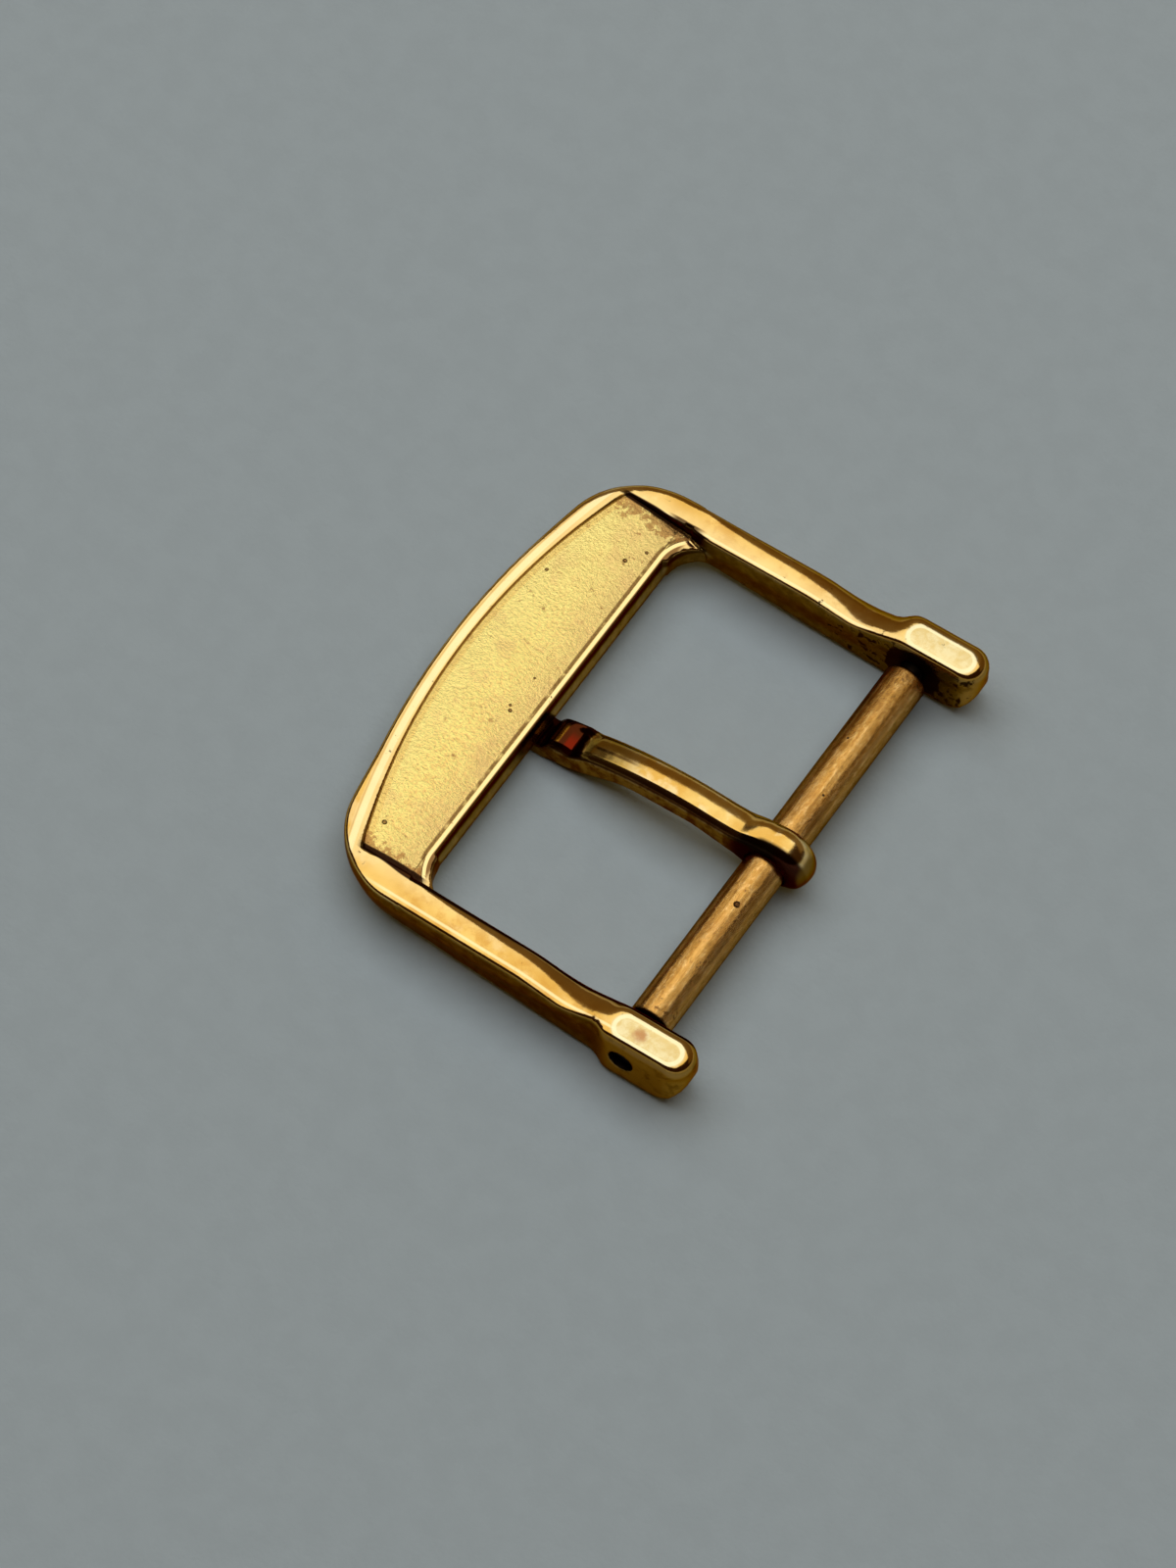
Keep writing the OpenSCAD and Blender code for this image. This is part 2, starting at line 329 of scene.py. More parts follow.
def makeBackdrop():
    bpy.ops.mesh.primitive_cylinder_add(vertices=128, radius=studio["backdropRadius"],
                                        depth=studio["backdropHeight"] * 2, end_fill_type="NOTHING")
    ring = bpy.context.object
    ring.name = "backdrop"
    bpy.ops.object.shade_smooth()
    look = Finish("backdropPaper")
    level = sum((look.node("ShaderNodeLightPath", output=ray)
                 for ray in ("Is Glossy Ray", "Is Transmission Ray")),
                look.node("ShaderNodeLightPath", output="Is Camera Ray"))
    glow = look.node("ShaderNodeEmission", sockets={"Color": (*studio["backdropColour"], 1),
                                                    "Strength": level * studio["backdropLevel"]})
    look.node("ShaderNodeOutputMaterial", sockets={"Surface": glow})
    ring.data.materials.append(look.material)


def makeLight():
    height = studio["boxHeight"]
    (left, right), (near, far) = studio["boxSpanX"], studio["boxSpanY"]
    bpy.ops.object.light_add(type="AREA", location=(height * (left + right) / 2,
                                                    height * (near + far) / 2, height))
    box = bpy.context.object
    box.name = "overheadBox"
    box.data.shape = "RECTANGLE"
    box.data.size, box.data.size_y = height * (right - left), height * (far - near)
    box.data.energy = studio["boxLevel"] * pi * box.data.size * box.data.size_y
    bpy.ops.object.light_add(type="AREA", location=studio["cardPlace"],
                             rotation=(math.radians(-studio["cardTilt"]), 0, 0))
    card = bpy.context.object
    card.name = "warmCard"
    card.data.shape = "RECTANGLE"
    card.data.size, card.data.size_y = studio["cardSize"]
    card.data.color = studio["cardColour"]
    card.data.energy = studio["cardLevel"] * pi * card.data.size * card.data.size_y
    world = bpy.data.worlds.new("dimRoom")
    world.use_nodes = True
    world.node_tree.nodes["Background"].inputs["Color"].default_value = (*studio["roomColour"], 1)
    bpy.context.scene.world = world


makeFloor()
makeBackdrop()
makeLight()
bpy.context.scene.view_settings.view_transform = "Standard"
print("floor, backdrop and light done")


# Frame

casting = {
    "edgeTint": (0.6, 0.29, 0.05),
    "voxel": 0.0675,
    "smoothing": 3,
    "afterRounding": 8,
    "strapHalf": 8.2,  # half the space between the lugs
    "armOuter": 9.2,  # half the outside width where the arms leave the plate
    "armSpread": 0.2,  # how much more it is by the lugs
    "lugStart": (-1.35, -0.55),  # the arms widen into the lugs between these places
    "lugWiden": 0.32,
    "bowCentre": 14.55,
    "bowRadius": 28.0,
    "bowEdge": -13.448,
    "cornerPlace": (-9.59, 6.1),
    "cornerRadius": 3.1,
    "cornerSpread": 0.02,  # slope of the outer edge from the corner towards the lug
    "panelCentre": 11.1,  # of the sunk panel's outer edge, rounder than the bow
    "panelEdge": 24.0,
    "windowEdge": -9.1,
    "windowCorner": 1.3,
    "lipWidth": 0.34,
    "slitTip": (-11.27, 8.38),
    "slitTipReach": (0.55, 0.35),
    "slitTipLow": 0.7,
    "lean": 0.021,  # the real plate's bow is turned a little
    "leanFrom": (-9.4, -11.2),
    "plateToArm": (-9.2, -8.8),  # the rounding of the plate's edge hands over to the arms' here
    "rimLow": 0.75,  # the rim's rounding takes the points above this
    "rimBand": 0.45,  # and this near the edge
    "armStart": (-9.3, -8.7),
    "armLow": 0.62,
    "armMargin": 0.1,
    "armTop": 1.12,
    "waistDip": 0.24,  # dip of the arms' tops before the lugs
    "waistFall": (-4.45, -2.25),
    "waistRise": (-2.65, -0.4),
    "lugTop": 1.22,
    "lugEdge": 9.715,
    "lugBlend": (-1.2, -0.4),  # the oval flat's rounding takes over from the arm's
    "lugWhole": (-0.5, -0.2),
    "sharpEdge": (0.12, 0.15),  # width and depth of the rounding on each arm's near edge
    "sharpShare": 0.2,  # the near edge's rounding has this share of the arm's width
    "softCorner": (3.0, 8.5),  # the plate's far corner is rounded more
    "softCornerMore": (0.2, 0.1),
    "softEdgeAlong": (-9.2, -8.2, -7.2, -4.6, -3.4, -2.6, -0.9, -0.2),
    "softEdgeWidth": (0.12, 0.3, 0.42, 0.6, 0.8, 1.1, 1.05, 0.6),
    "softEdgeDepth": (0.1, 0.2, 0.26, 0.36, 0.42, 0.42, 0.42, 0.42),
    "flareAlong": (-9.2, -8.2, -2.6, -0.8),
    "nearFlare": (0.22, 0.22, 0.2, 0.0),  # the near edges stand out at the top
    "farFlare": (0.0, 0.13, 0.12, 0.0),
    "rimFlare": (0.07, 0.22),  # the same at the plate's far and near corners
    "rimFlareFrom": ((5.0, 8.0), (-4.5, -8.0)),
    "flareRise": (-0.6, 0.6),
    "flareReach": (0.9, 0.15),
    "padMiddle": 8.96,
    "padShift": -0.13,
    "padStart": -0.15,
    "padEnd": 1.5,
    "padRadius": 0.45,
    "padEdge": (0.31, 0.42),
    "padWiden": (0.13, 0.13),  # wider rounding at each flat's end and at its far side
    "padFade": (-0.25, 0),
    "boreReach": (0.55, 0.75),  # the smoothing stays off the lugs' holes
    "leastSmooth": 0.3,  # and is this weak on crisp near edges and on the plate
    "crispBand": (0.1, 0.3),
    "lugsSmooth": (-2.0, -1.5),
    "armsSmooth": (-9.0, -8.6),
}

lines = {  # how far off each line of the sunk panel the mesh is made finer
    "stepReach": (0.2, 0.08),
    "stepEnd": (8.4, 8.25),
    "lipReach": (0.34, 0.2),
    "slitReach": (0.3, 0.16),
    "slitStart": (-11.6, -11.4),
    "lowest": 0.45,
    "halfWidth": 8.6,
    "fromRim": 0.3,
    "fromWindow": -8.95,
    "finerFrom": 0.3,
}


def armEdges(x, y):
    # distance in from an arm's or lug's near (-Y) edge and from its far (+Y) edge
    cornerX, inner = casting["cornerPlace"][0], casting["strapHalf"]
    atPlate, spread = casting["armOuter"], casting["armSpread"]
    arm = atPlate + spread * (x - cornerX) / -cornerX
    lug = atPlate + spread + casting["lugWiden"] * ramp(x, *casting["lugStart"])
    outer = np.where(x < casting["lugStart"][0], arm, lug)
    return np.where(y < 0, y + outer, y - inner), np.where(y < 0, -inner - y, outer - y)


def armTop(x):
    # height of the arms' and lugs' tops along them
    low = casting["armTop"] - casting["waistDip"]
    return (casting["armTop"] - casting["waistDip"] * ramp(x, *casting["waistFall"])
            + (casting["lugTop"] - low) * ramp(x, *casting["waistRise"]))


def flareShape(z, inward):
    # the flare grows with height and fades away from the edge
    return ramp(z, *casting["flareRise"]) * ramp(inward, *casting["flareReach"])


def roundTheRim(body):
    # the plate's outer edge: its bow, and a corner arc at each end
    points = pointsOf(body)
    x, y, z = points.T
    cornerX, cornerY = casting["cornerPlace"]
    bowX, bowR, cornerR = casting["bowCentre"], casting["bowRadius"], casting["cornerRadius"]
    inCorner = np.abs(y) * (bowX - cornerX) > cornerY * (bowX - x)
    fromX = np.where(inCorner, np.maximum(x, cornerX), bowX)
    fromY = np.where(inCorner, np.sign(y) * cornerY, 0)
    away = np.maximum(np.hypot(x - fromX, y - fromY), tiny)
    flare = sum(most * ramp(y, *span)
                for most, span in zip(casting["rimFlare"], casting["rimFlareFrom"]))
    rim = np.where(inCorner, cornerR + casting["cornerSpread"] * np.maximum(x - cornerX, 0), bowR)
    push = flare * flareShape(z, rim - away) * (1 - ramp(x, *casting["plateToArm"])) / away
    x, y = x + (x - fromX) * push, y + (y - fromY) * push
    away, rim = away * (1 + push), rim + flare
    softness = ramp(y, *casting["softCorner"])
    width, depth = (size + more * softness
                    for size, more in zip(casting["sharpEdge"], casting["softCornerMore"]))
    inwards, drop = roundEdge(rim - away, casting["armTop"] - z, width, depth)
    on = (z > casting["rimLow"]) * (rim - away < casting["rimBand"])
    on = on * (1 - ramp(x, *casting["plateToArm"]))
    points[:, 0] = x + on * (fromX + (x - fromX) / away * (rim - inwards) - x)
    points[:, 1] = y + on * (fromY + (y - fromY) / away * (rim - inwards) - y)
    points[:, 2] = z + on * (casting["armTop"] - drop - z)
    movePoints(body, points)


def ovalFlat(x, y, z, top):
    # each lug has an oval flat, rounded all the way round it; the last value is 1 well inside
    middle = np.sign(y) * casting["padMiddle"] + casting["padShift"]
    along = np.minimum(x, casting["padEnd"])
    offX, offY = x - along, y - middle
    away = np.maximum(np.hypot(offX, offY), tiny)
    width, depth = casting["padEdge"]
    endWiden, farWiden = casting["padWiden"]
    width = width + endWiden * offX / away + farWiden * offY / away
    reach = casting["padRadius"] + width
    inwards, drop = roundEdge(reach - away, top - z, width, depth)
    newX = along + offX / away * (reach - inwards)
    newY = np.clip(middle + offY / away * (reach - inwards), -casting["lugEdge"], casting["lugEdge"])
    return newX, newY, top - drop, ramp(reach - away, *casting["padFade"])


def roundTheArms(body):
    # the arms' edges flare at the top and are rounded, more on their far sides, up to the lugs' flats
    points = pointsOf(body)
    x, y, z = points.T
    nearFlare, farFlare = (np.interp(x, casting["flareAlong"], casting[name])
                           for name in ("nearFlare", "farFlare"))
    flare = np.where(y < 0, nearFlare, farFlare)
    onArm = np.abs(y) > casting["strapHalf"] - casting["armMargin"]
    near = armEdges(x, y)[0]
    y = y - flare * flareShape(z, near) * ramp(x, *casting["plateToArm"]) * onArm
    near, far = armEdges(x, y)
    near += flare
    top = armTop(x)
    softWidth, softDepth = (np.interp(x, casting["softEdgeAlong"], casting[name])
                            for name in ("softEdgeWidth", "softEdgeDepth"))
    nearIn, nearDrop = roundEdge(near, top - z, *casting["sharpEdge"])
    farIn, farDrop = roundEdge(far, top - z, softWidth, softDepth)
    atNear = near < far * casting["sharpShare"]
    armY = np.where(atNear, y + nearIn - near, y - farIn + far)
    armZ = top - np.where(atNear, nearDrop, farDrop)
    lugX, lugY, lugZ, inOval = ovalFlat(x, y, z, top)
    onLug = ramp(x, *casting["lugBlend"]) * np.maximum(ramp(x, *casting["lugWhole"]), inOval)
    on = ramp(x, *casting["armStart"]) * (z > casting["armLow"]) * onArm
    points[:, 0] = x + on * onLug * (lugX - x)
    points[:, 1] = y + on * ((1 - onLug) * (armY - y) + onLug * (lugY - y))
    points[:, 2] = z + on * ((1 - onLug) * (armZ - z) + onLug * (lugZ - z))
    movePoints(body, points)


def sharpenThePanel(body, guide):
    # more faces along the step, the lip and the slits, drawn back to the CAD copy's surface
    mesh = body.data
    centres = np.empty(len(mesh.polygons) * 3, np.float32)
    mesh.polygons.foreach_get("center", centres)
    finer = panelLines(centres.reshape(-1, 3).astype(float)) > lines["finerFrom"]
    pickOnly(body)
    mesh.polygons.foreach_set("select", finer)
    bpy.ops.object.mode_set(mode="EDIT")
    bpy.ops.mesh.select_mode(type="FACE")
    bpy.ops.mesh.subdivide(number_cuts=1)
    leaveEdit()
    weightGroup(body, "panelLines", panelLines(pointsOf(body)))
    applyModifier(body, "SHRINKWRAP", target=guide, wrap_method="NEAREST_SURFACEPOINT",
                  vertex_group="panelLines")


def leanThePlate(body):
    # the bow is turned a little, and stays inside the CAD part
    points = pointsOf(body)
    x, y, z = points.T
    leaned = x - casting["lean"] * y * ramp(x, *casting["leanFrom"])
    points[:, 0] = np.maximum(leaned, casting["bowEdge"])
    movePoints(body, points)


def windowDistance(x, y):
    # distance out from the edge of the window, round its corners too
    corner = casting["windowCorner"]
    outX = np.maximum(casting["windowEdge"] + corner - x, 0)
    outY = np.maximum(np.abs(y) - casting["strapHalf"] + corner, 0)
    return np.hypot(outX, outY) - corner


def panelLines(points):
    # 1 on the lines of the sunk panel, fading to 0 a little way off them
    x, y, z = points.T
    side = np.abs(y)
    inward = casting["bowRadius"] - np.hypot(x - casting["bowCentre"], y)
    fromStep = np.abs(casting["panelEdge"] - np.hypot(x - casting["panelCentre"], y))
    fromLip = np.abs(windowDistance(x, y) - casting["lipWidth"])
    fromSlit = np.abs(side - casting["strapHalf"])
    step = ramp(fromStep, *lines["stepReach"]) * ramp(side, *lines["stepEnd"])
    slit = ramp(fromSlit, *lines["slitReach"]) * ramp(x, *lines["slitStart"])
    on = np.maximum(np.maximum(step, ramp(fromLip, *lines["lipReach"])), slit)
    return (on * (z > lines["lowest"]) * (side < lines["halfWidth"])
            * (inward > lines["fromRim"]) * (x < lines["fromWindow"]))


frameTones = {
    "plating": ((0.66, 0.37, 0.07), (0.83, 0.54, 0.15)),
    "pale": (0.86, 0.64, 0.29),
    "brown": (0.6, 0.3, 0.05),
    "streak": (0.95, 0.76, 0.38),
    "rolledEdgeShade": (0.4, 0.19, 0.012),
    "pad": ((0.66, 0.5, 0.2), (0.76, 0.66, 0.36)),
    "padRim": (0.92, 0.82, 0.5),
    "panel": ((0.92, 0.52, 0.045), (1.0, 0.84, 0.15)),
    "panelFarEndLight": (1.0, 0.86, 0.2),
    "panelByBowLight": (1.0, 0.86, 0.2),
    "panelShade": (0.72, 0.4, 0.08),
    "panelPatch": (0.8, 0.44, 0.09),
    "border": (0.92, 0.74, 0.36),
    "crease": (0.5, 0.27, 0.06),
    "glint": (0.96, 0.8, 0.42),
    "besideStep": (0.84, 0.5, 0.12),
    "stepShadeLine": (0.36, 0.16, 0.012),
    "groove": (0.2, 0.09, 0.02),
    "lipShadeLine": (0.16, 0.065, 0.014),
    "lipShine": (0.96, 0.74, 0.32),
    "wall": ((0.16, 0.085, 0.02), (0.31, 0.165, 0.045)),
    "lugSide": (0.46, 0.24, 0.065),
    "lugEnd": (0.56, 0.31, 0.075),
    "blotch": (0.16, 0.075, 0.02),
    "underLip": (0.06, 0.025, 0.006),
    "mottle": (0.42, 0.19, 0.05),
    "grime": (0.02, 0.008, 0.003),
    "slit": (0.03, 0.012, 0.005),
    "slitEndShade": (0.05, 0.018, 0.004),
    "bore": (0.012, 0.008, 0.005),
    "pit": (0.22, 0.09, 0.02),
    "stain": (0.42, 0.17, 0.05),
}

frameMarks = {  # small pits, each with a place and a radius, and the stain on the near flat
    "pits": [(-12.18, 4.16, 1.05, 0.07), (-10.24, 6.05, 0.82, 0.09), (-9.83, 6.76, 0.73, 0.07),
             (-11.2, -6.99, 0.97, 0.1), (-10.19, -1.02, 0.81, 0.08), (-10.3, -0.85, 0.82, 0.06),
             (-10.21, 0.49, 0.81, 0.05), (2.16, -9.0, -0.1, 0.12), (2.15, 8.97, -0.5, 0.08)],
    "stain": (0.37, -9.08, 1.22),
}


def readFrame(look):
    # what tells the frame's regions apart: place, distance from its lines, and the way a face looks
    x, y, z = look.x, look.y, look.z
    look.side = abs(y)
    look.up = abs(look.facing("Z"))
    look.level = look.step(look.up, 0.8, 0.95)
    look.wall = look.step(look.up, 0.6, 0.2)
    look.axisAway = (x ** 2 + z ** 2).root()
    upright = x + casting["lean"] * y * look.step(x, *casting["leanFrom"])
    look.inward = casting["bowRadius"] - ((upright - casting["bowCentre"]) ** 2 + y ** 2).root()
    look.fromStep = casting["panelEdge"] - ((upright - casting["panelCentre"]) ** 2 + y ** 2).root()
    corner, lip = casting["windowCorner"], casting["lipWidth"]
    outX = look.most(casting["windowEdge"] + corner - x, 0)
    outY = look.most(look.side - (casting["strapHalf"] - corner), 0)
    look.window = (outX ** 2 + outY ** 2).root() - corner
    look.panel = (look.step(look.fromStep, -0.03, 0.03) * look.step(look.window, lip - 0.02, lip + 0.02)
                  * look.step(look.side, 8.22, 8.16) * look.step(z, 0.4, 0.5) * look.step(look.up, 0.6, 0.8))
    look.cloud = look.noise(0.55, detail=5)
    look.grit = look.noise(8.0, detail=5, rough=0.75)
    look.flecks = look.noise(2.6, detail=6, rough=0.7)


def platingTone(look):
    x, step = look.x, look.step
    # warm and pale clouds of the plating
    colour = look.mix(step(look.cloud, 0.34, 0.66), *frameTones["plating"])
    pale = look.noise(1.1, detail=4, shift=(8, 2, 0))
    # brown clouds along the arms' tops, between painted highlight streaks by their near edges
    onArm = step(x, -9.6, -8.6) * step(x, -1.0, -2.2) * look.level
    brown = step(look.noise(1.5, detail=6, shift=(4, 4, 0), rough=0.65), 0.46, 0.62)
    streak = look.band(look.y, 8.24, 0.02, 0.06) + look.band(look.y + 9.6 + 0.02 * x, 0.25, 0.02, 0.06)
    # painted shade: the rolled long edges are darker and redder
    rolledEdgeShade = step(look.up, 0.985, 0.9) * step(x, -9.6, -8.8) * step(look.side, 8.15, 8.25)
    return look.lay(colour, frameTones, {
        "pale": step(pale, 0.5, 0.68) * 0.5,
        "brown": brown * onArm * 0.6,
        # painted highlight along the arms' near edges
        "streak": streak * step(x, -11.0, -9.5) * look.level * 0.8,
        "rolledEdgeShade": rolledEdgeShade * 0.65,
    })


def padTone(look, colour):
    # rubbed oval flats on the lugs, with a brighter rim
    padX = look.x - look.clip(look.x, casting["padStart"], casting["padEnd"])
    padY = abs(look.y - casting["padShift"]) - casting["padMiddle"]
    away = (padX ** 2 + padY ** 2).root() - casting["padRadius"]
    scuffs = look.noise(2.4, detail=6, shift=(1, 0, 4), rough=0.65)
    tone = look.mix(look.step(scuffs, 0.36, 0.64), *frameTones["pad"])
    tone = look.mix(look.band(away, -0.02, 0.05, 0.05) * 0.8, tone, frameTones["padRim"])
    return look.mix(look.step(away, 0.14, 0.04) * look.level * 0.9, colour, tone)


def panelTone(look):
    # satin panel, with painted light towards its far end and the bow, and painted shade towards the window
    tone = look.mix(look.step(look.grit, 0.34, 0.6), *frameTones["panel"])
    patch = look.step(look.noise(0.9, detail=5, shift=(5, 1, 2), rough=0.6), 0.52, 0.68)
    return look.lay(tone, frameTones, {
        "panelFarEndLight": look.step(look.y, -4.0, 7.0) * 0.5,
        "panelByBowLight": look.step(look.x, -10.8, -12.4) * 0.6,
        "panelShade": look.step(look.x + 0.8 * look.noise(1.4, detail=4), -10.8, -8.7) * 0.6,
        "panelPatch": patch * 0.5,
    })


def panelEdges(look, colour):
    side, window, step = look.side, look.window, look.step
    # a faint line and a broad painted highlight round the polished border, and brown lines at the step, the
    # darkest a painted shade line
    border = step(look.inward, 0.1, 0.2) * step(side, 9.0, 8.2) * look.level
    between = step(side, 8.15, 8.0)
    line = look.band(look.fromStep, 0.01, 0.03, 0.03) * between * step(window, 0.5, 0.8)
    # a worn dark groove beside the lip, and a painted shade line and a painted highlight line on the lip
    inWindow = step(side, 8.2, 8.1)
    groove = (look.band(window, casting["lipWidth"] + 0.08, 0.03, 0.06) * inWindow
              * step(look.up, 0.3, 0.6) * step(look.z, 0.4, 0.5))
    onLip = step(look.z, 0.42, 0.5) * inWindow * step(look.x, -8.9, -9.1)
    return look.lay(colour, frameTones, {
        "border": border * 0.45,
        "crease": look.band(look.inward, 0.2, 0.01, 0.04) * border * 0.5,
        "glint": look.band(look.inward, 0.36, 0.08, 0.06) * border * 0.6,
        "besideStep": look.band(look.fromStep, 0.12, 0.1, 0.1) * between * 0.45,
        "stepShadeLine": line * 0.85,
        "groove": groove * step(look.noise(1.8, detail=4), 0.3, 0.5) * 0.85,
        "lipShadeLine": look.band(window, 0.11, 0.08, 0.03) * onLip * 0.9,
        "lipShine": look.band(window, 0.27, 0.04, 0.03) * onLip * 0.9,
    })


def wallShadeTone(look):
    # walls are painted dark as shade and are dull, and paler on the lugs
    onLug = look.step(look.x, -1.4, -0.6)
    tone = look.mix(look.step(look.flecks, 0.4, 0.62), *frameTones["wall"])
    blotch = look.step(look.noise(1.7, detail=6, shift=(2, 2, 2), rough=0.65), 0.5, 0.66)
    return look.lay(tone, frameTones, {
        "lugSide": onLug * look.step(look.side, 9.3, 9.5),
        "lugEnd": onLug * look.step(look.x, 1.5, 2.1),
        "blotch": blotch * 0.7,
    })


def slitShadeMask(look):
    # painted shade in the slit along each end of the panel, wider at the near end, and where it runs on into
    # the arm's wall
    x, side, step = look.x, look.side, look.step
    isNear, isFar = step(look.y, 1, -1), step(look.y, -1, 1)
    inner = 8.1 - (0.05 + 0.2 * step(x, -12.0, -9.3)) * isNear
    outer = 8.29 + step(x, -10.6, -9.3) * (0.22 * isNear - 0.1)
    slit = (step(side - inner, -0.03, 0.03) * step(side - outer, 0.03, -0.03)
            * step(look.inward, 0.5, 0.8) * step(look.window, 0.0, 0.1)
            * step(look.z, 0.5, 0.6))
    nearTail = (step(side, 8.41, 8.31) * step(side, 8.1, 8.18)
                * step(x, -7.6, -9.0) * step(x, -9.9, -9.3))
    farTail = look.band(side, 8.22, 0.12, 0.05) * look.band(x, -9.2, 0.35, 0.5)
    return slit, (nearTail * isNear + farTail * isFar) * step(look.z, 0.6, 0.7)


def tarnishAndShade(look, colour):
    # a painted shadow line under the lip, tarnish in the panel's ends, grime and painted shade by the pins,
    # and painted shade in the slits and bores
    side, step = look.side, look.step
    under = (step(look.up, 0.75, 0.35) * look.band(look.window, 0.08, 0.1, 0.03)
             * step(look.z, 0.18, 0.3) * step(look.z, 0.56, 0.46) * step(side, 8.3, 8.1))
    ends = step(side, 7.0, 8.2) * look.panel
    mottle = step(look.flecks + 0.24 * ends, 0.6, 0.7) * look.panel
    inside = step(side, 8.6, 8.3)
    # grime, with painted shade by the pins and on the walls between the lugs
    byPin = step(look.axisAway, 1.15, 0.7) * inside
    byLug = step(look.x, -5.0, -1.5) * look.wall * inside
    look.grime = step(look.flecks + 0.75 * byPin + 0.14 * byLug, 0.64, 0.72)
    slit, slitEndShade = slitShadeMask(look)
    # the lug holes are painted near black, as shade
    look.bore = step(look.axisAway, 0.5, 0.46)
    look.pit = look.spots(frameMarks["pits"])
    stain = step(look.near(frameMarks["stain"]) + 0.5 * look.flecks, 0.62, 0.32)
    return look.lay(colour, frameTones, {
        "underLip": under * 0.9,
        "mottle": mottle * 0.75,
        "grime": look.grime * (1 - look.panel) * 0.95,
        "slit": slit,
        "slitEndShade": slitEndShade * 0.9,
        "bore": look.bore,
        "pit": look.pit * 0.85,
        "stain": stain * 0.8,
    })


def frameGold():
    look = Finish("frameGold")
    readFrame(look)
    colour = padTone(look, platingTone(look))
    colour = look.mix(look.panel, colour, panelTone(look))
    colour = panelEdges(look, colour)
    colour = look.mix(look.wall * 0.95, colour, wallShadeTone(look))
    colour = tarnishAndShade(look, colour)
    rough = (0.09 + 0.05 * look.cloud + 0.04 * look.panel + 0.14 * look.wall + 0.25 * look.grime
             + 0.4 * look.bore)
    wave = look.bump(look.noise(0.8, detail=2), 2.2e-5)
    rub = look.bump(look.noise(7.0, detail=3), 1.5e-6, normal=wave)
    pebble = look.bump(look.grit * look.panel, 2.2e-5, normal=rub)
    holes = look.bump(1 - look.pit, 3e-5, normal=pebble)
    return look.metal(colour, rough, holes, edge=casting["edgeTint"])


def smoothTheArms(body):
    x, y, z = pointsOf(body).T
    least, near = casting["leastSmooth"], armEdges(x, y)[0]
    freely = np.maximum(ramp(near, *casting["crispBand"]), ramp(x, *casting["lugsSmooth"]))
    freely = np.maximum(least, freely) * np.maximum(ramp(x, *casting["armsSmooth"]), least)
    freely = ramp(np.hypot(x, z), *casting["boreReach"]) * freely
    smoothBy(body, "armEdges", freely, casting["afterRounding"])


def smoothTheSlitTips(body):
    # the slits' pointed tips were roughened by being drawn back to the CAD copy
    x, y, z = pointsOf(body).T
    tipX, tipY = casting["slitTip"]
    tips = ramp(np.hypot(x - tipX, np.abs(y) - tipY), *casting["slitTipReach"])
    smoothBy(body, "slitTips", tips * (z > casting["slitTipLow"]), casting["afterRounding"])


def makeFrame():
    guide = copyOfNode("buckle_frame", "frameGuide")
    body = copyOfNode("buckle_frame", "frameBody")
    applyModifier(body, "REMESH", mode="VOXEL", voxel_size=casting["voxel"])
    applyModifier(body, "SMOOTH", factor=0.5, iterations=casting["smoothing"])
    roundTheRim(body)
    roundTheArms(body)
    smoothTheArms(body)
    sharpenThePanel(body, guide)
    bpy.data.objects.remove(guide)
    smoothTheSlitTips(body)
    leanThePlate(body)
    print("frame faces", len(body.data.polygons))
    finishPiece(body, frameGold(), "frame", "buckle_frame")


makeFrame()
print("frame done")


# Tongue

tongue = {
    "voxel": 0.036,
    "firstSmoothing": 3,
    "smoothing": 5,
    "middle": -0.4,
    "halfWidth": 0.65,
    "boreRadius": 0.79,
    "boreMargin": 0.03,
    "sharpEdge": (0.46, 0.32),  # width and depth of the rounding on the near edge of the back
    "sharpShare": 0.15,  # that rounding has this share of the tongue's width
    "softEdge": (0.74, 0.42),
    "seatEdge": (0.3, 0.14),
    "backFrom": (-7.75, -7.2),  # the seat's rounding hands over to the back's here
    "leastEdge": 0.05,
    "deepest": 0.8,  # of the tongue's own thickness
    "bellyEdge": (0.3, 0.22),
    "shankFrom": (-8.9, -8.4),
    "loopFrom": (-1.2, -0.3),
    "loopSharpEdge": (0.7, 0.5),
    "loopEdge": (0.56, 0.44),
    "loopBulge": 0.12,
    "bulgeAngle": (-0.35, 0.75),  # its middle and width, in radians
    "bulgeFrom": (0.95, 1.25),
    "seatRim": 0.07,
    "seatRimAlong": ((-8.7, -8.2), (-7.1, -7.4)),
    "seatRimReach": (0.45, 0.1),
    "seatAt": -7.85,
    "seatDip": 0.14,  # hollow in the ground seat by the plate
    "seatHalf": 0.24,
    "seatNear": (0.02, 0.4),
    "seatEnds": ((-8.95, -8.75), (-7.3, -7.6)),
    "seatLow": -0.2,
    "seatSmoothing": 24,
    "outside": (0.8, 0.95),  # the loop's bore isn't smoothed
    "highest": 1.348,
    "slotsAlong": 110,
    "slotsRound": 90,
}


def edgeCurve(place, height, start, end, count, highest):
    # highest or lowest height in each of a row of slots, softened, and read off at every place
    slots = np.linspace(start, end, count + 1)
    index = np.clip(np.digitize(place, slots) - 1, 0, count - 1)
    pick = np.full(count, -1e9 if highest else 1e9)
    (np.maximum if highest else np.minimum).at(pick, index, height)
    softened = np.convolve(np.pad(pick, 2, mode="edge"), np.full(5, 0.2), "valid")
    return np.interp(place, (slots[:-1] + slots[1:]) / 2, softened)


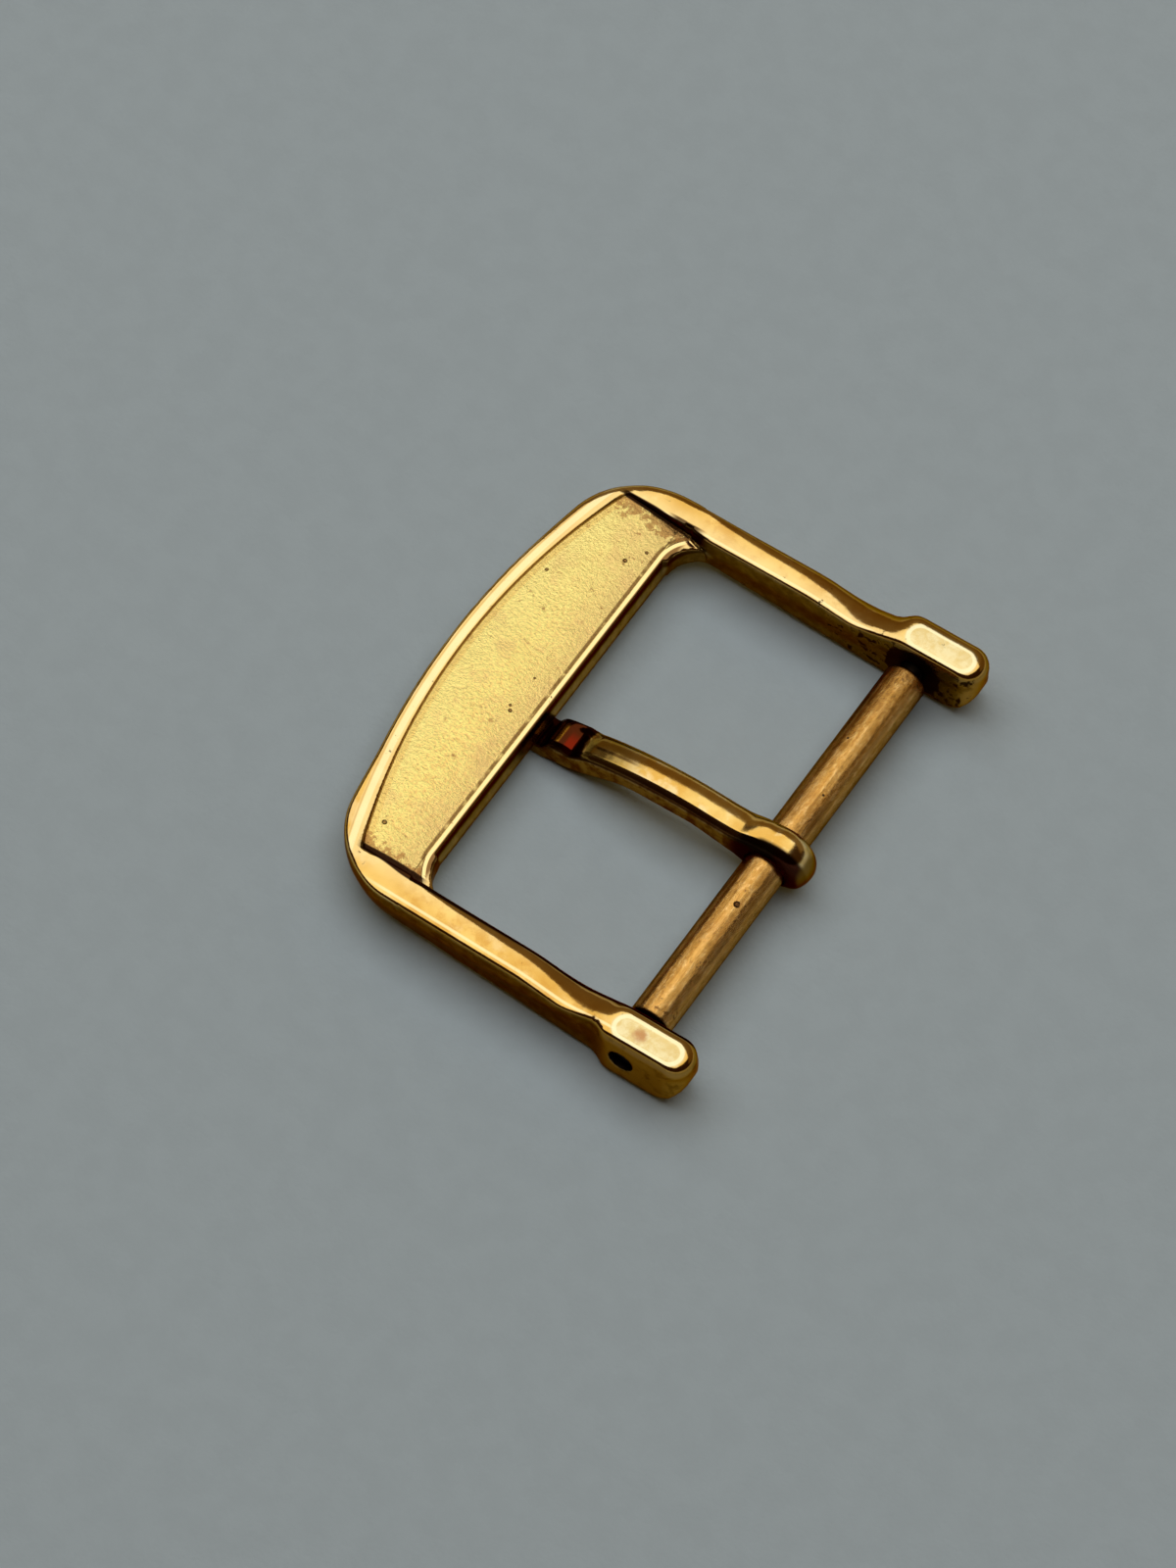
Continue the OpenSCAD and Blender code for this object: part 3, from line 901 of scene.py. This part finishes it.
def roundTheShank(x, across, z):
    # the tongue's bar: both edges of its back, both edges of its belly, and the hollow of its seat
    half = tongue["halfWidth"]
    near, far = half + across, half - across
    top, low = (edgeCurve(x, z, x.min(), tongue["loopFrom"][1], tongue["slotsAlong"], highest)
                for highest in (True, False))
    onBack = ramp(x, *tongue["backFrom"])
    width, depth = (seat + onBack * (back - seat)
                    for seat, back in zip(tongue["seatEdge"], tongue["softEdge"]))
    depth = np.minimum(depth, tongue["deepest"] * (top - low))
    width, depth = (np.maximum(size, tongue["leastEdge"]) for size in (width, depth))
    nearIn, nearDrop = roundEdge(near, top - z, *tongue["sharpEdge"])
    farIn, farDrop = roundEdge(far, top - z, width, depth)
    lowNear, lowNearRise = roundEdge(near, z - low, *tongue["bellyEdge"])
    lowFar, lowFarRise = roundEdge(far, z - low, *tongue["bellyEdge"])
    upper = z > (top + low) / 2
    atNear = near < far * tongue["sharpShare"]
    barY = np.where(atNear, nearIn - half, half - farIn)
    barZ = top - np.where(atNear, nearDrop, farDrop)
    bellyY = np.where(across < 0, lowNear - half, half - lowFar)
    bellyZ = low + np.where(across < 0, lowNearRise, lowFarRise)
    onShank = ramp(x, *tongue["shankFrom"])
    barY = across + onShank * (np.where(upper, barY, bellyY) - across)
    barZ = z + onShank * (np.where(upper, barZ, bellyZ) - z)
    onTop = ramp(z, (top + low) / 2, top)
    hollow = np.exp(-((x - tongue["seatAt"]) / tongue["seatHalf"]) ** 2)
    barZ -= tongue["seatDip"] * hollow * onTop * ramp(far, *tongue["seatNear"])
    start, end = tongue["seatRimAlong"]
    raised = ramp(x, *start) * ramp(x, *end) * ramp(far, *tongue["seatRimReach"])
    barZ += tongue["seatRim"] * raised * onTop
    return barY, barZ


def roundTheTongue(tang):
    points = pointsOf(tang)
    x, y, z = points.T
    half = tongue["halfWidth"]
    across = y - tongue["middle"]
    near, far = half + across, half - across
    barY, barZ = roundTheShank(x, across, z)
    # the loop's rounding runs out from its bore
    radius, angle = np.hypot(x, z), np.arctan2(z, x)
    rim = edgeCurve(angle, radius, -pi, pi, tongue["slotsRound"], True)
    loopNear, loopNearDrop = roundEdge(near, rim - radius, *tongue["loopSharpEdge"])
    loopFar, loopFarDrop = roundEdge(far, rim - radius, *tongue["loopEdge"])
    onNear = near < tongue["loopSharpEdge"][0]
    loopY = np.where(onNear, loopNear - half, half - loopFar)
    newRadius = rim - np.where(onNear, loopNearDrop, loopFarDrop)
    middle, spread = tongue["bulgeAngle"]
    bulge = np.exp(-((angle - middle) / spread) ** 2) * ramp(radius, *tongue["bulgeFrom"])
    newRadius = newRadius + tongue["loopBulge"] * bulge
    bore = radius < tongue["boreRadius"] + tongue["boreMargin"]
    newRadius = np.where(bore, radius, newRadius)
    loopY, barY, barZ = np.where(bore, across, loopY), np.where(bore, across, barY), np.where(bore, z, barZ)
    loop = ramp(x, *tongue["loopFrom"])
    points[:, 0] = x + loop * (newRadius * np.cos(angle) - x)
    points[:, 1] = tongue["middle"] + barY + loop * (loopY - barY)
    points[:, 2] = np.minimum(barZ + loop * (newRadius * np.sin(angle) - barZ), tongue["highest"])
    movePoints(tang, points)


tongueTones = {
    "plating": ((0.7, 0.4, 0.08), (0.82, 0.56, 0.17)),
    "pale": (0.9, 0.74, 0.4),
    "flank": ((0.1, 0.03, 0.008), (0.36, 0.2, 0.06)),
    "byBarShade": (0.015, 0.006, 0.003),
    "rosy": (0.22, 0.07, 0.045),
    "turned": (0.5, 0.3, 0.08),
    "shoulder": (0.014, 0.006, 0.003),
    "underEdgeShade": (0.09, 0.022, 0.005),
    "dirt": (0.16, 0.06, 0.02),
    "loopFaceGrimeAndShade": (0.06, 0.014, 0.007),
    "loopRimShade": (0.24, 0.12, 0.018),
    "bySeat": (0.33, 0.2, 0.03),
    "seat": (0.05, 0.006, 0.002),
    "vee": (0.75, 0.45, 0.11),
    "glow": (0.17, 0.012, 0.003),
    "amberHighlight": (0.36, 0.16, 0.012),
    "darkReflectionLine": (0.1, 0.045, 0.01),
    "capHighlight": (0.95, 0.7, 0.3),
}


def flankShadeTones(look, colour):
    x, step = look.x, look.step
    # the sides are painted dark brown as shade and stained, painted near black as shade by the bar, and rosy
    # at the loop's end
    tone = look.mix(step(look.stain, 0.38, 0.6), *tongueTones["flank"])
    tone = look.lay(tone, tongueTones, {
        "byBarShade": step(x, -1.9, -1.0),
        "rosy": step(x, 0.2, 0.7) * step(look.z, 0.4, 0.0) * 0.7,
    })
    colour = look.mix(look.flank * 0.95, colour, tone)
    # grime and painted shade on the loop's near shoulder, and a dark red-brown painted shade band under the
    # back's near edge
    towards = look.facing("Y")
    shoulder = step(towards, -0.25, -0.42) * step(x, -1.7, -0.9)
    under = step(towards, -0.35, -0.55) * step(towards, -0.97, -0.9) * step(x, -0.9, -1.7)
    return look.lay(colour, tongueTones, {
        # painted shade on faces turned steeply off the top, away from the flanks
        "turned": step(abs(look.facing("Z")), 0.5, 0.2) * (1 - look.flank) * 0.5,
        "shoulder": shoulder * 0.95,
        "underEdgeShade": under * 0.8,
        "dirt": look.dirt * 0.6,
        # grime and painted shade on the loop's near face, and painted shade on its far rim
        "loopFaceGrimeAndShade": step(towards, -0.3, -0.5) * step(x, 0.1, 0.5) * 0.9,
        "loopRimShade": step(x, 1.12, 1.32) * 0.85,
    })


def seatTones(look, colour):
    # the ground seat by the plate is painted deep red in its hollow as shade, with a pale line round its
    # start
    x, onTop, step = look.x, 1 - look.flank, look.step
    across = look.y - tongue["middle"]
    rimPlace = x - 0.35 * abs(across)
    # a painted dark reflection line along the back's near side
    darkReflectionLine = look.band(look.y, -0.5, 0.03, 0.05) * step(x, -5.0, -5.9) * step(x, -7.15, -7.0)
    return look.lay(colour, tongueTones, {
        "bySeat": step(x, -4.7, -6.4) * onTop * 0.85,
        "seat": step(rimPlace, -7.5, -7.62) * onTop * 0.97,
        "vee": look.band(rimPlace, -7.5, 0.02, 0.04) * onTop * step(abs(across), 0.5, 0.4) * 0.8,
        # a painted red reflection by the seat's hollow
        "glow": look.band(x, -8.0, 0.1, 0.14) * onTop * step(across, 0.3, -0.2) * 0.9,
        # a painted amber highlight near the plate
        "amberHighlight": look.band(x, -8.56, 0.1, 0.1) * onTop * step(abs(across), 0.44, 0.34) * 0.9,
        "darkReflectionLine": darkReflectionLine * 0.85,
        # a painted highlight on the tip's cap
        "capHighlight": look.band(x, -8.74, 0.02, 0.05) * onTop * step(abs(across + 0.1), 0.3, 0.2) * 0.9,
    })


def tongueGold():
    look = Finish("tongueGold")
    cloud = look.noise(0.9, detail=5)
    look.stain = look.noise(2.4, detail=6, rough=0.7)
    look.dirt = look.step(look.stain, 0.66, 0.74)
    look.flank = look.step(abs(look.facing("Y")), 0.6, 0.85)
    colour = look.mix(look.step(cloud, 0.34, 0.66), *tongueTones["plating"])
    pale = look.noise(1.6, detail=4, shift=(2, 3, 0))
    colour = look.mix(look.step(pale, 0.5, 0.68) * 0.6, colour, tongueTones["pale"])
    colour = seatTones(look, flankShadeTones(look, colour))
    rough = 0.12 + 0.08 * cloud + 0.15 * look.flank + 0.2 * look.dirt
    wave = look.bump(look.noise(1.1, detail=2), 2e-5)
    rub = look.bump(look.noise(6.0, detail=3, stretch=(0.3, 1, 1)), 2.5e-6, normal=wave)
    return look.metal(colour, rough, rub, edge=casting["edgeTint"])


def makeTongue():
    tang = copyOfNode("tongue", "tongueBody")
    applyModifier(tang, "REMESH", mode="VOXEL", voxel_size=tongue["voxel"])
    applyModifier(tang, "SMOOTH", factor=0.5, iterations=tongue["firstSmoothing"])
    roundTheTongue(tang)
    x, y, z = pointsOf(tang).T
    smoothBy(tang, "outside", ramp(np.hypot(x, z), *tongue["outside"]), tongue["smoothing"])
    start, end = tongue["seatEnds"]
    seat = ramp(x, *start) * ramp(x, *end) * (z > tongue["seatLow"])
    smoothBy(tang, "seat", seat, tongue["seatSmoothing"])
    print("tongue faces", len(tang.data.polygons))
    finishPiece(tang, tongueGold(), "tongue", "tongue")


makeTongue()
print("tongue done")


# Spring bar: tube, spring and two pins, all round the bar's axis, which is Y

bar = {
    "tubeRadius": 0.75,
    "tubeHalf": 7.85,
    "nearReach": 0.17,  # how much closer the worn tube sits to the near lug
    "tubeSides": 96,
    "chamfer": 0.16,
    "chamferSteps": 5,
    "tubeCrease": 50,  # edges sharper than this stay crisp
    "boreRadius": 0.55,
    "collarRadius": 0.44,
    "collarLength": 0.25,
    "springHalf": 6.6,
    "coilRadius": 0.41,
    "wire": 0.16,
    "wireSides": 10,
    "turns": 18,
    "turnSteps": 24,
    "coilWeld": 0.0005,
    "pinSides": 64,
    "pinBevel": 0.05,
    "pinBevelSteps": 3,
    "pinCrease": 40,
    "stubRadius": 0.25,
    "stubLength": 0.8,
    "shoulderRadius": 0.51,
    "shoulderEnd": 7.6,
    "tipRadius": 0.4,
    "tipEnd": 9.5,
}
nearby, touching = 0.01, 0.001  # how close a face's middle has to be to the place that it is picked by


def pickFaces(obj, test):
    # picks the faces whose middle passes the test, and goes to edit mode
    pickOnly(obj)
    for face in obj.data.polygons:
        face.select = bool(test(face.center))
    bpy.ops.object.mode_set(mode="EDIT")
    bpy.ops.mesh.select_mode(type="FACE")


def extrudeAlong(length):
    bpy.ops.mesh.extrude_region_move(TRANSFORM_OT_translate={"value": (0, length, 0)})


def widenLast(share):
    # a new ring on the picked face, this much wider or narrower round the bar's axis
    bpy.ops.mesh.extrude_region()
    bpy.ops.transform.resize(value=(share, 1, share), center_override=(0, 0, 0))


def makeTube():
    radius, half, chamfer = bar["tubeRadius"], bar["tubeHalf"], bar["chamfer"]
    collar, collarLength = bar["collarRadius"], bar["collarLength"]
    bpy.ops.mesh.primitive_cylinder_add(vertices=bar["tubeSides"], radius=radius, depth=2 * half,
                                        rotation=(pi / 2, 0, 0))
    tube = bpy.context.object
    tube.name = "tubeBody"
    bpy.ops.object.transform_apply(rotation=True)
    pickFaces(tube, lambda c: abs(c.y) > half - nearby)
    bpy.ops.mesh.bevel(offset=chamfer, segments=bar["chamferSteps"], affect="EDGES")
    leaveEdit()
    for end in (-1, 1):
        pickFaces(tube, lambda c: c.y * end > half - touching)
        bpy.ops.mesh.inset(thickness=radius - chamfer - collar)
        extrudeAlong(-end * collarLength)
        widenLast(bar["boreRadius"] / collar)
        leaveEdit()
    # the two faces that close the bore are bridged, and the near end is moved out as the worn tube sits
    pickFaces(tube, lambda c: (abs(abs(c.y) - half + collarLength) < touching
                               and math.hypot(c.x, c.z) < nearby))
    bpy.ops.mesh.bridge_edge_loops()
    leaveEdit()
    pickFaces(tube, lambda c: c.y < collarLength + nearby - half)
    bpy.ops.transform.translate(value=(0, -bar["nearReach"], 0))
    turnFacesOut()
    finishPiece(tube, tubeRose(), "bar", "bar_tube")
    bpy.ops.object.shade_smooth_by_angle(angle=math.radians(bar["tubeCrease"]))


def makePin(name, node, end):
    # a stub, a shoulder and a tip, drawn out ring by ring towards the lug
    steps = [("length", bar["stubLength"]), ("radius", bar["shoulderRadius"]),
             ("length", bar["shoulderEnd"] - bar["springHalf"]), ("radius", bar["tipRadius"]),
             ("length", bar["tipEnd"] - bar["shoulderEnd"])]
    start = bar["springHalf"] - bar["stubLength"]
    bpy.ops.mesh.primitive_circle_add(vertices=bar["pinSides"], radius=bar["stubRadius"],
                                      fill_type="NGON", location=(0, end * start, 0),
                                      rotation=(pi / 2, 0, 0))
    pin = bpy.context.object
    pin.name = name
    bpy.ops.object.transform_apply(location=True, rotation=True)
    editAll(pin)
    radius = bar["stubRadius"]
    for kind, size in steps:
        if kind == "length":
            extrudeAlong(end * size)
        else:
            widenLast(size / radius)
            radius = size
    turnFacesOut()
    crease = math.radians(bar["pinCrease"])
    applyModifier(pin, "BEVEL", width=bar["pinBevel"], segments=bar["pinBevelSteps"],
                  limit_method="ANGLE", angle_limit=crease)
    finishPiece(pin, shadedPinSteel(), node, node)
    bpy.ops.object.shade_smooth_by_angle(angle=crease)


def makeSpring():
    half = bar["springHalf"] - bar["wire"] / 2
    bpy.ops.mesh.primitive_circle_add(vertices=bar["wireSides"], radius=bar["wire"] / 2,
                                      fill_type="NOTHING", location=(bar["coilRadius"], -half, 0))
    spring = bpy.context.object
    spring.name = "springCoil"
    bpy.ops.object.transform_apply(location=True)
    applyModifier(spring, "SCREW", axis="Y", angle=2 * pi, screw_offset=2 * half / bar["turns"],
                  iterations=bar["turns"], steps=bar["turnSteps"],
                  render_steps=bar["turnSteps"])
    editAll(spring)
    bpy.ops.mesh.remove_doubles(threshold=bar["coilWeld"])
    bpy.ops.mesh.select_all(action="DESELECT")
    bpy.ops.mesh.select_mode(type="EDGE")
    bpy.ops.mesh.select_non_manifold()  # the wire's two open ends, which get a face each
    bpy.ops.mesh.edge_face_add()
    turnFacesOut()
    finishPiece(spring, springWire(), "bar", "bar_spring")


tubeTones = {
    "plating": ((0.56, 0.28, 0.055), (0.7, 0.39, 0.1)),
    "bright": (0.88, 0.57, 0.21),
    "dark": (0.26, 0.11, 0.025),
    "cloud": (0.34, 0.15, 0.045),
    "flecks": (0.16, 0.06, 0.02),
    "rims": (0.06, 0.025, 0.008),
    "pit": (0.05, 0.015, 0.005),
}
tubePits = [(0.184, -3.005, 0.727, 0.13), (0.3, 2.1, 0.69, 0.05), (-0.2, 4.4, 0.72, 0.05)]


def tubeRose():
    # rose plating, brushed along the tube, with dark flecks that gather at its ends
    look = Finish("tubeRose")
    streak = look.noise(9.0, detail=4, stretch=(1, 0.04, 1))
    grain = look.noise(7.0, detail=5, stretch=(1, 0.4, 1), rough=0.7)
    cloud = look.noise(0.8, detail=5)
    colour = look.mix(look.step(streak, 0.35, 0.65), *tubeTones["plating"])
    ends = look.step(abs(look.y), 7.1, 7.6)
    flecks = look.step(look.noise(4.0, detail=5, rough=0.7) + 0.1 * ends, 0.62, 0.7)
    pit = look.spots(tubePits)
    colour = look.lay(colour, tubeTones, {
        "bright": look.step(grain, 0.48, 0.66) * 0.7,
        "dark": look.step(grain, 0.46, 0.34) * 0.35,
        "cloud": look.step(cloud, 0.5, 0.72) * 0.3,
        "flecks": flecks * 0.7,
        "rims": (look.step(look.y, -7.84, -7.98) + look.step(look.y, 7.62, 7.76)) * 0.8,
        "pit": pit * 0.9,
    })
    rough = 0.13 + 0.1 * streak + 0.15 * flecks
    fine = look.bump(streak, 5e-6)
    sparkle = look.bump(grain, 8e-6, normal=fine)
    holes = look.bump(1 - pit, 4e-5, normal=sparkle)
    return look.metal(colour, rough, holes, edge=casting["edgeTint"])


def shadedPinSteel():
    # painted shade: the pins are near black as the gaps they sit in are shaded, and darker still inside the
    # lugs
    look = Finish("shadedPinSteel")
    ring = look.noise(6.0, detail=3, stretch=(0.2, 4, 0.2))
    colour = look.mix(ring, (0.03, 0.018, 0.01), (0.09, 0.06, 0.035))
    inLug = look.step(abs(look.y), 8.6, 9.2)
    colour = look.mix(inLug, colour, (0.01, 0.008, 0.006))
    return look.metal(colour, 0.32 + 0.1 * ring, look.bump(ring, 5e-6))


def springWire():
    look = Finish("springWire")
    drawn = look.noise(5.0, detail=3)
    colour = look.mix(drawn, (0.4, 0.4, 0.42), (0.62, 0.62, 0.64))
    return look.metal(colour, 0.28 + 0.1 * drawn, look.bump(drawn, 3e-6))


makeTube()
makeSpring()
makePin("nearPin", "near_pin", -1)
makePin("farPin", "far_pin", 1)
print("spring bar done")
